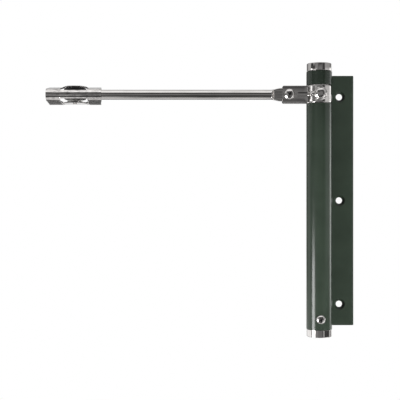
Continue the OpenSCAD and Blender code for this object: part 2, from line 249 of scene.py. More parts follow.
def green_lacquer(colours):
    """Dark green lacquer over an aluminium extrusion: die lines, a fine peel and faint clouds.

    On the tube's front the colour is painted darker towards the top end, as shade, and painted
    shade darkens and roughens the lower right of each screw hole and its countersink.
    """
    nodes = new_material("Green lacquer")
    clouds = nodes.noise(38.0, 3.0)
    die_lines = nodes.noise(900.0, 2.0, 0.6, (1.0, 1.0, 0.004))
    peel = nodes.noise(1700.0, 2.0, 0.55)
    grit = nodes.noise(5200.0, 1.0)
    pale, deep = rgba(colours.lacquer, 1.1), rgba(colours.lacquer, 0.9)
    shade = nodes.mix_colour(clouds.ramp(0.3, 0.72), deep, pale)
    place = nodes.apart(nodes.place())
    across, up = place.out("X"), place.out("Z")
    # Painted shade: the tube's front is darker towards its top end.
    painted_top_shade = up.ramp(0.045, 0.112) * place.out("Y").ramp(-0.0032, -0.008)
    shade = nodes.mix_colour(painted_top_shade * 0.85, shade, rgba(colours.lacquer, 0.42))
    # Painted shade: the lower right of each screw hole and its countersink is near black and
    # rougher.
    half_pitch = HOLE_PITCH / 2 * MM
    up = up.maths("WRAP", up, half_pitch, -half_pitch)
    away = (across * across + up * up) ** 0.5
    painted_hole_shade = away.ramp(0.005, 0.0045) * ((across - up) / away).ramp(-0.1, 0.8)
    shade = nodes.mix_colour(painted_hole_shade * 0.9, shade, rgba(colours.lacquer, 0.05))
    shade = nodes.mix_colour(grit.ramp(0.62, 0.72) * 0.3, shade, rgba(colours.lacquer, 1.7))
    height = die_lines * 0.5 + peel * 0.4 + grit * 0.1
    gloss = 0.17 + clouds * 0.05 + grit.ramp(0.55, 0.8) * 0.08 + painted_hole_shade * 0.3
    sockets = {
        "Base Color": shade,
        "Roughness": gloss,
        "Specular IOR Level": 0.5,
        "Normal": nodes.bump(height, 0.35, 0.00002),
    }
    principled(nodes, sockets)


def chrome_plate(name, colours, grain, ripple, roughness, streak, smear=(300.0, 1.0), soil=0.0):
    """Bright chrome over steel, its grain a stretch along the polishing lines.

    The smears are so many in a metre and so long on Y. Marked recess points get painted shade.
    """
    nodes = new_material(name)
    lines = nodes.noise(1100.0, 4.0, 0.7, grain)
    waves = nodes.noise(170.0, 2.0, 0.5)
    haze = nodes.noise(60.0, 4.0, 0.6)
    cells = {"Vector": nodes.place(), "Scale": 900.0}
    pits = nodes.add("ShaderNodeTexVoronoi", cells, feature="F1")
    spots = pits.ramp(0.09, 0.03) * nodes.noise(240.0).ramp(0.56, 0.66)
    across = min(grain[0] * 4, 1.0)
    smears = nodes.noise(smear[0], 3.0, 0.62, (across, grain[1] / smear[1], grain[2]))
    tint = rgba(colours.chrome)
    for amount, level in (
        (haze.ramp(0.35, 0.75), 0.9),
        (smears.ramp(0.42, 0.62) * streak, 0.6),
        (lines.ramp(0.46, 0.62) * streak, 1.4),
        (spots * 0.5, 0.35),
    ):
        tint = nodes.mix_colour(amount, tint, rgba(colours.chrome, level))
    # Painted shade: points marked as inside a screw's recess turn near black, duller and less
    # metallic.
    painted_recess_shade = nodes.add("ShaderNodeAttribute", attribute_name="soil").out("Fac") * soil
    tint = nodes.mix_colour(painted_recess_shade, tint, (0.012, 0.012, 0.012, 1.0))
    height = lines * 0.12 + waves * ripple - spots * 0.4
    dull = haze.ramp(0.4, 0.8) * 0.03 + lines.ramp(0.55, 0.75) * 0.04 + painted_recess_shade * 0.4
    sockets = {
        "Base Color": tint,
        "Metallic": 1.0 - painted_recess_shade * 0.6,
        "Roughness": roughness + dull,
        "Normal": nodes.bump(height, 0.5, 0.00003),
    }
    principled(nodes, sockets)


def bare_steel(name, tint, grain, roughness):
    """Turned, plated or drawn metal with fine lines and a few darker stains."""
    nodes = new_material(name)
    lines = nodes.noise(3000.0, 2.0, 0.6, grain)
    stains = nodes.noise(140.0, 4.0, 0.65)
    shade = nodes.mix_colour(stains.ramp(0.45, 0.75), rgba(tint), rgba(tint, 0.7))
    shade = nodes.mix_colour(lines.ramp(0.5, 0.8) * 0.25, shade, rgba(tint, 1.15))
    sockets = {
        "Base Color": shade,
        "Metallic": 1.0,
        "Roughness": roughness + stains * 0.12 + lines * 0.08,
        "Normal": nodes.bump(lines, 0.4, 0.00002),
    }
    principled(nodes, sockets)


def black_nylon(colours):
    """Moulded black nylon: a soft sheen, a fine mould grain and scuffs."""
    nodes = new_material("Moulded nylon")
    grain = nodes.noise(4200.0, 2.0)
    scuffs = nodes.noise(420.0, 4.0, 0.7, (1.0, 1.0, 5.0))
    worn = scuffs.ramp(0.58, 0.72)
    sockets = {
        "Base Color": nodes.mix_colour(worn * 0.5, rgba(colours.nylon), rgba(colours.nylon, 3.0)),
        "Roughness": 0.34 + worn * 0.25 + grain * 0.08,
        "Specular IOR Level": 0.35,
        "Normal": nodes.bump(grain * 0.6 + scuffs * 0.4, 0.3, 0.00003),
    }
    principled(nodes, sockets)


def make_finishes(colours):
    """Every finish of the closer, made once. Each is found by its name."""
    if "Green lacquer" in bpy.data.materials:
        return
    green_lacquer(colours)
    chrome_plate("Turned chrome", colours, (1.0, 1.0, 0.02), 0.0, 0.05, 0.15)
    chrome_plate("Drawn chrome", colours, (0.02, 1.0, 1.0), 0.12, 0.07, 0.6)
    chrome_plate("Pressed chrome", colours, (0.2, 1.0, 1.0), 2.0, 0.07, 0.95, (260.0, 2.4))
    chrome_plate("Bent chrome", colours, (0.1, 1.0, 1.0), 0.35, 0.09, 0.35)
    chrome_plate("Plated screws", colours, (1.0, 1.0, 0.1), 0.1, 0.17, 0.2, soil=1.0)
    bare_steel("Zinc plate", colours.zinc, (1.0, 0.05, 1.0), 0.24)
    bare_steel("Turned shaft", (0.56, 0.55, 0.54), (1.0, 1.0, 0.02), 0.2)
    bare_steel("Oiled spring wire", (0.2, 0.2, 0.22), (1.0, 1.0, 1.0), 0.3)
    bare_steel("Sintered bronze", (0.62, 0.43, 0.22), (1.0, 1.0, 0.05), 0.35)
    black_nylon(colours)


# Geometry node trees


def new_shape_tree(name, **inputs):
    """A Geometry Nodes tree with a Geometry input, these inputs and a Finish input."""
    tree = bpy.data.node_groups.new(name, "GeometryNodeTree")
    sockets = [("Geometry", "Geometry"), *inputs.items(), ("Finish", "Material")]
    for label, kind in sockets:
        label, kind = label.replace("_", " "), f"NodeSocket{kind}"
        tree.interface.new_socket(label, in_out="INPUT", socket_type=kind)
    tree.interface.new_socket("Geometry", in_out="OUTPUT", socket_type="NodeSocketGeometry")
    nodes = Nodes(tree)
    return tree, nodes, nodes.add("NodeGroupInput")


def close_shape_tree(nodes, given, geometry):
    """Ends a tree in Realize Instances and Set Material."""
    solid = nodes.add("GeometryNodeRealizeInstances", {"Geometry": geometry})
    finish = {"Geometry": solid, "Material": given.out("Finish")}
    nodes.add("NodeGroupOutput", {"Geometry": nodes.add("GeometryNodeSetMaterial", finish)})


def swept(nodes, given, section):
    """The section swept along the path that was given, its ends closed."""
    path = {"Curve": given.out("Geometry"), "Profile Curve": section, "Fill Caps": True}
    return nodes.add("GeometryNodeCurveToMesh", path)


def turned_part_tree():
    """Turns a profile of points, drawn in the XZ plane, once round the Z axis."""
    tree, nodes, given = new_shape_tree("Turned part", Segments="Int")
    profile = given.out("Geometry")
    segments = given.out("Segments")
    size = nodes.add("GeometryNodeAttributeDomainSize", {"Geometry": profile}, component="MESH")
    rows = size.out("Point Count")
    grid = nodes.add(
        "GeometryNodeMeshGrid",
        {
            "Size X": segments * 1.0,
            "Size Y": rows - 1.0,
            "Vertices X": segments + 1.0,
            "Vertices Y": rows,
        },
    )
    place = nodes.add("GeometryNodeInputPosition")
    spot = nodes.apart(place)
    turn = (spot.out("X") / segments + 0.5) * math.tau
    row = spot.out("Y") + (rows - 1.0) * 0.5
    row = nodes.add("FunctionNodeFloatToInt", {0: row}, rounding_mode="ROUND")
    point = nodes.add(
        "GeometryNodeSampleIndex",
        {"Geometry": profile, "Value": place, "Index": row},
        data_type="FLOAT_VECTOR",
        domain="POINT",
    )
    drawn = nodes.apart(point)
    across = drawn.out("X")
    spun = nodes.add(
        "ShaderNodeCombineXYZ",
        {
            "X": across * turn.maths("COSINE", turn),
            "Y": across * turn.maths("SINE", turn),
            "Z": drawn.out("Z"),
        },
    )
    moved = nodes.add("GeometryNodeSetPosition", {"Geometry": grid, "Position": spun})
    close_shape_tree(
        nodes,
        given,
        nodes.add("GeometryNodeMergeByDistance", {"Geometry": moved, "Distance": 0.000001}),
    )
    return tree


def wound_wire_tree():
    """Sweeps a round wire along a path."""
    tree, nodes, given = new_shape_tree("Wound wire", Wire_radius="Float", Sides="Int")
    circle = {"Radius": given.out("Wire radius"), "Resolution": given.out("Sides")}
    section = nodes.add("GeometryNodeCurvePrimitiveCircle", circle, mode="RADIUS")
    close_shape_tree(nodes, given, swept(nodes, given, section))
    return tree


def bent_strip_tree():
    """Sweeps a strip with rounded edges along a path."""
    tree, nodes, given = new_shape_tree(
        "Bent strip", Thickness="Float", Height="Float", Edge="Float", Spacing="Float"
    )
    sides = {"Width": given.out("Thickness"), "Height": given.out("Height")}
    outline = nodes.add("GeometryNodeCurvePrimitiveQuadrilateral", sides, mode="RECTANGLE")
    corners = {"Curve": outline, "Count": 4, "Radius": given.out("Edge")}
    rounded = nodes.add("GeometryNodeFilletCurve", corners, mode="POLY")
    cuts = {"Curve": rounded, "Cuts": given.out("Height") / given.out("Spacing")}
    fine = nodes.add("GeometryNodeSubdivideCurve", cuts)
    close_shape_tree(nodes, given, swept(nodes, given, fine))
    return tree


SHAPE_TREES = {
    "Turned part": turned_part_tree,
    "Wound wire": wound_wire_tree,
    "Bent strip": bent_strip_tree,
}


def add_object(name, data):
    obj = bpy.data.objects.new(name, data)
    bpy.context.scene.collection.objects.link(obj)
    return obj


def plain_mesh(obj, name):
    """The evaluated object as a new object with a plain mesh. The old one is removed."""
    bpy.context.view_layer.update()
    graph = bpy.context.evaluated_depsgraph_get()
    mesh = bpy.data.meshes.new_from_object(obj.evaluated_get(graph))
    bpy.data.objects.remove(obj)
    mesh.name = name
    return add_object(name, mesh)


def shaped(obj, name, tree_name, **inputs):
    """Runs one of the shape trees on an object and keeps the result as a plain mesh."""
    tree = bpy.data.node_groups.get(tree_name) or SHAPE_TREES[tree_name]()
    modifier = obj.modifiers.new(tree_name, "NODES")
    modifier.node_group = tree
    items = [item for item in tree.interface.items_tree if item.in_out == "INPUT"]
    keys = {item.name: item.identifier for item in items}
    for label, value in inputs.items():
        modifier[keys[label.replace("_", " ")]] = value
    return plain_mesh(obj, name)


# Mesh helpers


def rounded_corners(points, steps=5):
    """A polyline with its corners rounded. Each point is x, z and, if it is rounded, a radius."""
    made = []
    for index, point in enumerate(points):
        here = np.array(point[:2], float)
        radius = point[2] if len(point) > 2 else 0.0
        if not radius or index in (0, len(points) - 1):
            made.append(here)
            continue
        before = np.array(points[index - 1][:2], float) - here
        after = np.array(points[index + 1][:2], float) - here
        before /= np.linalg.norm(before)
        after /= np.linalg.norm(after)
        half = math.acos(np.clip(before @ after, -1, 1)) / 2
        reach = radius / math.tan(half)
        middle = before + after
        centre = here + middle / np.linalg.norm(middle) * radius / math.sin(half)
        x, z = here + before * reach - centre
        sweep = math.pi - 2 * half
        if x * after[1] - z * after[0] < 0:
            sweep = -sweep
        for step in range(steps + 1):
            angle = sweep * step / steps
            cos, sin = math.cos(angle), math.sin(angle)
            made.append(centre + np.array([cos * x - sin * z, sin * x + cos * z]))
    return made


def mirrored(profile, height):
    """A profile, and then its mirror image about half the height."""
    return [*profile, *((x, height - z, *radius) for x, z, *radius in reversed(profile))]


def turned(name, profile, matrix, segments=128, steps=5):
    """A turned part. The profile, in millimetres, runs up the outside from axis to axis."""
    points = [(x * MM, 0.0, z * MM) for x, z in rounded_corners(profile, steps)]
    mesh = bpy.data.meshes.new(name)
    mesh.from_pydata(points, [(i, i + 1) for i in range(len(points) - 1)], [])
    part = shaped(add_object(name, mesh), name, "Turned part", Segments=segments)
    part.data.transform(matrix)
    return part


def wound(name, points, radius, sides):
    """A round wire along points. All is in millimetres."""
    path = path_object(f"{name}_path", points)
    return shaped(path, name, "Wound wire", Wire_radius=radius * MM, Sides=sides)


def path_object(name, points):
    """An open poly curve through points in millimetres."""
    curve = bpy.data.curves.new(name, "CURVE")
    curve.dimensions = "3D"
    spline = curve.splines.new("POLY")
    spline.points.add(len(points) - 1)
    for target, (x, y, z) in zip(spline.points, points):
        target.co = (x * MM, y * MM, z * MM, 1.0)
    return add_object(name, curve)


def prism(name, outline, low, high, axis="Z"):
    """A solid with straight sides from an outline in millimetres, along Z or along Y."""
    mesh = bpy.data.meshes.new(name)
    shape = bmesh.new()
    if axis == "Z":
        base = [(x * MM, y * MM, low * MM) for x, y in outline]
        step = Vector((0, 0, high - low)) * MM
    else:
        base = [(x * MM, low * MM, z * MM) for x, z in outline]
        step = Vector((0, high - low, 0)) * MM
    face = shape.faces.new([shape.verts.new(point) for point in base])
    made = bmesh.ops.extrude_face_region(shape, geom=[face])
    tops = [v for v in made["geom"] if isinstance(v, bmesh.types.BMVert)]
    bmesh.ops.translate(shape, verts=tops, vec=step)
    bmesh.ops.recalc_face_normals(shape, faces=shape.faces)
    shape.to_mesh(mesh)
    shape.free()
    return add_object(name, mesh)


def circle_points(radius, count, x=0.0, y=0.0):
    angles = [math.tau * i / count for i in range(count)]
    return [(x + radius * math.cos(a), y + radius * math.sin(a)) for a in angles]


def hexagon_points(flats, x=0.0, y=0.0):
    """A hexagon of a width across its flats."""
    return circle_points(flats / math.sqrt(3), 6, x, y)


def combined(base, operation, *others):
    """The base object after a boolean with each of the others, which are removed."""
    for other in others:
        step = base.modifiers.new(operation, "BOOLEAN")
        step.operation = operation
        step.solver = "EXACT"
        step.object = other
    made = plain_mesh(base, base.name)
    for other in others:
        bpy.data.objects.remove(other)
    return made


def softened(obj, width, angle):
    """Rounds every edge sharper than an angle in degrees, by a width in millimetres."""
    bevel = obj.modifiers.new("Edges", "BEVEL")
    bevel.width = width * MM
    bevel.segments = 2
    bevel.limit_method = "ANGLE"
    bevel.angle_limit = math.radians(angle)
    bevel.use_clamp_overlap = True
    bevel.miter_outer = "MITER_ARC"
    made = plain_mesh(obj, obj.name)
    smooth_shaded(made.data)
    weighted = made.modifiers.new("Normals", "WEIGHTED_NORMAL")
    weighted.keep_sharp = True
    return plain_mesh(made, made.name)


def smooth_shaded(mesh, angle=32.0):
    """Smooth shading, but for edges sharper than an angle in degrees."""
    mesh.polygons.foreach_set("use_smooth", [True] * len(mesh.polygons))
    mesh.set_sharp_from_angle(angle=math.radians(angle))


def joined(name, *objects):
    """One object that holds the meshes of several."""
    shape = bmesh.new()
    for obj in objects:
        shape.from_mesh(obj.data)
        bpy.data.objects.remove(obj)
    mesh = bpy.data.meshes.new(name)
    shape.to_mesh(mesh)
    shape.free()
    return add_object(name, mesh)


def dressed(obj, finish, body, slot, *nodes, smooth_angle=32.0):
    """Gives a piece its finish and smooth shading, puts it on a named body or bakes its place,
    and hides the nodes it stands for. The slot is not used.
    """
    obj.data.materials.clear()
    obj.data.materials.append(bpy.data.materials[finish])
    if not obj.data.has_custom_normals:
        smooth_shaded(obj.data, smooth_angle)
    if isinstance(body, str):
        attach(obj, body)
    else:
        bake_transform(obj)
    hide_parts(*nodes)


def round_normals(mesh, x, y):
    """Exact normals for the long faces that lie on a cylinder round an upright axis."""
    mesh.update()
    normals = [Vector(corner.vector) for corner in mesh.corner_normals]
    axis = Vector((x, y, 0.0)) * MM
    upright = [face for face in mesh.polygons if abs(face.normal.z) <= 0.02]
    for face in upright:
        spokes = [mesh.vertices[vertex].co - axis for vertex in face.vertices]
        for spoke in spokes:
            spoke.z = 0.0
        reach = [spoke.length for spoke in spokes]
        facing = abs(face.normal.dot((sum(spokes, Vector())).normalized()))
        if max(reach) - min(reach) > 0.02 * MM or facing < 0.99:
            continue
        for corner, spoke in zip(face.loop_indices, spokes):
            side = 1.0 if face.normal.dot(spoke) > 0 else -1.0
            normals[corner] = spoke.normalized() * side
    mesh.normals_split_custom_set(normals)


def grid_faces(rows, columns, wrap=False, skip=None):
    """Quads over a grid of points that was listed row by row."""
    faces = []
    for row in range(rows - 1):
        for column in range(columns if wrap else columns - 1):
            if not (skip and skip(row, column)):
                first, second = row * columns + column, row * columns + (column + 1) % columns
                faces.append((first, first + columns, second + columns, second))
    return faces


def mesh_piece(name, points, faces):
    """A closed object from points in millimetres, its faces turned outwards."""
    mesh = bpy.data.meshes.new(name)
    mesh.from_pydata([tuple(np.array(p) * MM) for p in points], [], faces)
    shape = bmesh.new()
    shape.from_mesh(mesh)
    bmesh.ops.remove_doubles(shape, verts=shape.verts, dist=0.000001)
    bmesh.ops.recalc_face_normals(shape, faces=shape.faces)
    shape.to_mesh(mesh)
    shape.free()
    return add_object(name, mesh)


def thick_sheet(name, points, faces, shape, thickness):
    """A closed sheet of one thickness round a grid of points. The grid may have windows."""
    grid = np.array(points).reshape(*shape, 3)
    normal = np.cross(np.gradient(grid, axis=0), np.gradient(grid, axis=1))
    normal /= np.linalg.norm(normal, axis=2)[..., None]
    half = thickness / 2
    both = [*(grid + normal * half).reshape(-1, 3), *(grid - normal * half).reshape(-1, 3)]
    count = len(points)
    edges = {}
    for face in faces:
        for first, second in zip(face, face[1:] + face[:1]):
            key = (min(first, second), max(first, second))
            edges[key] = None if key in edges else (first, second)
    rims = filter(None, edges.values())
    walls = [(second, first, first + count, second + count) for first, second in rims]
    backs = [tuple(i + count for i in reversed(face)) for face in faces]
    used = sorted({i for face in faces + backs for i in face})
    renumber = {old: new for new, old in enumerate(used)}
    kept = [tuple(renumber[i] for i in face) for face in faces + backs + walls]
    return mesh_piece(name, [both[i] for i in used], kept)


def smooth_step(value, low, high):
    t = np.clip((value - low) / (high - low), 0.0, 1.0)
    return t * t * (3 - 2 * t)


# Sizes and colours that a user would change


def length_property(name, description, millimetres):
    return bpy.props.FloatProperty(
        name=name,
        description=description,
        default=millimetres * MM,
        min=0.0,
        precision=5,
        subtype="DISTANCE",
        unit="LENGTH",
    )


def colour_property(name, description, colour):
    return bpy.props.FloatVectorProperty(
        name=name,
        description=description,
        default=colour,
        min=0.0,
        max=1.0,
        size=3,
        subtype="COLOR",
    )


class CloserShapeSettings(bpy.types.PropertyGroup):
    """Sizes that the solids leave open."""

    sawn_edge: length_property("Sawn edge", "Rounding of the extrusion's sawn edges", 0.3)
    flange_edge: length_property("Flange edge", "Rounding of the flange's free front edge", 1.5)
    cap_top_edge: length_property("Cap crown", "Rounding of each cap's outer edge", 0.5)
    cap_low_edge: length_property("Cap seat", "Rounding where the cap meets the barrel", 0.7)
    strap_bend: length_property("Strap bend", "Radius of the hollow between ear and band", 0.7)
    rib_height: length_property("Rib height", "Height of the rib pressed across the bend", 0.2)
    rib_width: length_property("Rib width", "Width of the rib pressed across the bend", 3.6)
    thread_pitch: length_property("Thread pitch", "Pitch of the ear screw's thread", 0.8)


class CloserColourSettings(bpy.types.PropertyGroup):
    """Colours of the finishes."""

    lacquer: colour_property("Lacquer", "Green lacquer of the barrel", (0.034, 0.050, 0.035))
    chrome: colour_property("Chrome", "Tint of the chrome plate", (0.66, 0.64, 0.625))
    zinc: colour_property("Zinc", "Tint of the zinc plate", (0.55, 0.55, 0.53))
    nylon: colour_property("Nylon", "Black of the roller", (0.004, 0.004, 0.0045))


class CloserStudioSettings(bpy.types.PropertyGroup):
    """The camera and the lights."""

    distance: length_property("Camera distance", "From the camera to the barrel's axis", 774.0)
    focal_length: bpy.props.FloatProperty(
        name="Focal length",
        description="Focal length of the camera in millimetres on a 36 mm sensor",
        default=81.0,
        subtype="DISTANCE_CAMERA",
    )
    fill: bpy.props.FloatProperty(
        name="Fill", description="Strength of the even light from all sides", default=0.44, min=0.0
    )
    lamp: bpy.props.FloatProperty(
        name="Lamp",
        description="Power of the soft lamp at the lower left, in watts",
        default=4.6,
        min=0.0,
        subtype="POWER",
        unit="POWER",
    )
    floor_drop: length_property("Floor drop", "From the screw holes' middle to the floor", 260.0)


# Pieces


class CloserOperator:
    """What the operators share: make() builds, and a failure is raised as an error."""

    bl_options = {"REGISTER", "UNDO"}

    def execute(self, context):
        make_finishes(context.scene.closer_colours)
        self.make(context.scene.closer_shape)
        return {"FINISHED"}


class CLOSER_OT_barrel(CloserOperator, bpy.types.Operator):
    """Builds the lacquered barrel with its flange, holes and groove"""

    bl_idname = "closer.barrel"
    bl_label = "Barrel"

    def make(self, sizes):
        # Half the flange's height: the solid's, and a little more as the photograph shows
        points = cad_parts["barrel"].data.vertices
        top = max(v.co.z for v in points if v.co.x > 0.0) / MM + 0.3
        body = self.rod("barrel_extrusion", BARREL_R, BARREL_FOOT, BARREL_TOP)
        body = combined(body, "UNION", self.flange(BARREL_HIGH.x, top, sizes.flange_edge / MM))
        groove_half = (STRAP_HIGH.z - STRAP_LOW.z) / 2 + 0.5
        cutters = [
            self.rod("bore", BORE_R + FIT, BARREL_LOW.z - 1, BARREL_TOP + 1),
            self.rod("groove", STRAP_R + 0.5, ARM_Z - groove_half, ARM_Z + groove_half),
        ]
        hole, sink, straight, front = 2.75, 4.8, 0.9, FLANGE_THICKNESS
        countersunk = [(0, -1), (hole, -1), (hole, straight), (sink, front), (sink, front + 1)]
        countersunk.append((0, front + 1))
        for row in (-1, 0, 1):
            place = facing_matrix(0, 0, row * HOLE_PITCH)
            cutters.append(turned(f"hole{row}", countersunk, place, 64))
        thread, reach = 2.1, 13
        outline = [(0, 0), (thread, 0), (thread, reach), (0, reach)]
        place = facing_matrix(AXIS_X, AXIS_Y, LOCK_Z)
        cutters.append(turned("lock_hole", outline, place, 48))
        body = combined(body, "DIFFERENCE", *cutters)
        body = softened(body, sizes.sawn_edge / MM * 0.6, 30.0)
        dressed(body, "Green lacquer", "barrel_unit", "green_lacquer", "barrel")
        round_normals(body.data, AXIS_X, AXIS_Y)

    def rod(self, name, radius, low, high):
        """A round bar on the barrel's axis."""
        return prism(name, circle_points(radius, 192, AXIS_X, AXIS_Y), low, high)

    def flange(self, reach, top, edge):
        """The plate with its rounded corners, and with the rounding of its free front edge."""
        corner, back_edge, inside = 1.0, 0.3, AXIS_X - 1
        face = [(AXIS_X, -top), (reach, -top, corner), (reach, top, corner), (AXIS_X, top)]
        plate = prism("plate", rounded_corners(face, 8), -FLANGE_THICKNESS, 0.0, "Y")
        front, back = (reach, -FLANGE_THICKNESS, edge), (reach, 0.0, back_edge)
        section = [(inside, -FLANGE_THICKNESS), front, back, (inside, 0.0)]
        nose = prism("nose", rounded_corners(section, 6), -top, top)
        return combined(plate, "INTERSECT", nose)


class CLOSER_OT_caps(CloserOperator, bpy.types.Operator):
    """Builds the chromed top cap and the tension adjuster"""

    bl_idname = "closer.caps"
    bl_label = "Caps"

    def make(self, sizes):
        rim = node_radius("top_cap")
        crown = sizes.cap_top_edge / MM
        self.top_cap(rim, crown, sizes.cap_low_edge / MM)
        self.adjuster(rim, crown)

    def top_cap(self, rim, crown, seat):
        height = CAP_HIGH.z - BARREL_TOP
        plug = BARREL_TOP - CAP_LOW.z
        profile = [
            (0, -plug),
            (BORE_R - 0.4, -plug, 0.4),
            (BORE_R - FIT, -plug + 1, 0.4),
            (BORE_R - FIT, 0),
            (rim - seat * 0.8, 0, 0.12),
            (rim, seat, 0.2),
            (rim, height, crown),
            (0, height),
        ]
        place = cylinder_matrix(AXIS_X, AXIS_Y, BARREL_TOP)
        cap = turned("top_cap_turned", profile, place, 160, 8)
        dressed(cap, "Turned chrome", "barrel_unit", "chrome_plate", "top_cap")

    def adjuster(self, rim, crown):
        # The cap's underside is higher than the solid's, as in the photograph
        foot = ADJUSTER_LOW.z + 0.9
        top = ADJUSTER_HIGH.z - foot
        shank = BORE_R - 0.07
        rim_top = BARREL_FOOT - 0.1 - foot
        root, groove, edge = 7.2, LOCK_Z - foot, 0.2
        bevel, groove_half = 0.35, 2.3
        profile = [
            (0, 0),
            (rim, 0, crown),
            (rim, rim_top - bevel, 0.15),
            (rim - bevel, rim_top, 0.1),
            (shank, rim_top),
            (shank, groove - groove_half, edge),
            (root, groove - groove_half, edge),
            (root, groove + groove_half, edge),
            (shank, groove + groove_half, edge),
            (shank, top, 0.5),
            (0, top),
        ]
        place = cylinder_matrix(AXIS_X, AXIS_Y, foot)
        adjuster = turned("tension_adjuster_turned", profile, place, 160, 8)
        key, key_depth = 5, 6
        hexagon = hexagon_points(key, AXIS_X, AXIS_Y)
        socket = prism("socket", hexagon, ADJUSTER_LOW.z - 1, ADJUSTER_LOW.z + key_depth)
        tang_r, tang_x, tang_depth = 1.65, AXIS_X + 6.75, 4.8
        hole = circle_points(tang_r, 32, tang_x, AXIS_Y)
        tang = prism("tang", hole, ADJUSTER_HIGH.z - tang_depth, ADJUSTER_HIGH.z + 1)
        adjuster = softened(combined(adjuster, "DIFFERENCE", socket, tang), 0.15, 40.0)
        dressed(adjuster, "Turned chrome", "adjuster", "chrome_plate", "tension_adjuster")


class CLOSER_OT_works(CloserOperator, bpy.types.Operator):
    """Finishes the hidden solids inside the barrel and winds the torsion spring"""

    bl_idname = "closer.works"
    bl_label = "Inner works"

    finishes = {
        "Sintered bronze": ("upper_bush", "lower_bush", "roller_bush"),
        "Zinc plate": ("thrust_washer",),
        "Turned shaft": ("spindle", "spring_anchor", "anchor_pin"),
    }

    def make(self, sizes):
        for finish, nodes in self.finishes.items():
            for node in nodes:
                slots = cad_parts[node].data.materials
                slots.clear()
                slots.append(bpy.data.materials[finish])
        self.spring(wire=1.5, turns=32, gap=0.3)

    def spring(self, wire, turns, gap):
        """The coil, its two tangs upright. It is drawn flat first, as length and height."""
        coil = node_radius("torsion_spring") - wire
        low, high = ADJUSTER_HIGH.z + gap, ANCHOR_LOW.z - gap
        bend = 2 * wire
        length = turns * math.tau * coil
        angles = np.linspace(0, math.pi / 2, 9)[:-1]
        corner = [(bend * (1 - math.cos(a)), bend * math.sin(a)) for a in angles]
        run, climb = length - 2 * bend, high - low - 2 * bend
        flat = [(0.0, SPRING_LOW.z), *((x, low + z) for x, z in corner)]
        steps = np.linspace(0, 1, turns * 24 + 1)
        flat += [(bend + run * t, low + bend + climb * t) for t in steps]
        flat += [(length - x, high - z) for x, z in reversed(corner)]
        flat += [(length, SPRING_HIGH.z)]
        points = [
            (AXIS_X + coil * math.cos(along / coil), AXIS_Y + coil * math.sin(along / coil), z)
            for along, z in flat
        ]
        spring = wound("torsion_spring_wire", points, wire, 12)
        ends = [tuple(Vector((AXIS_X, AXIS_Y, z)) * MM) for z in (low, high)]
        twist = ("barrel_unit", "arm_head", *ends)
        dressed(spring, "Oiled spring wire", twist, "spring_steel", "torsion_spring")


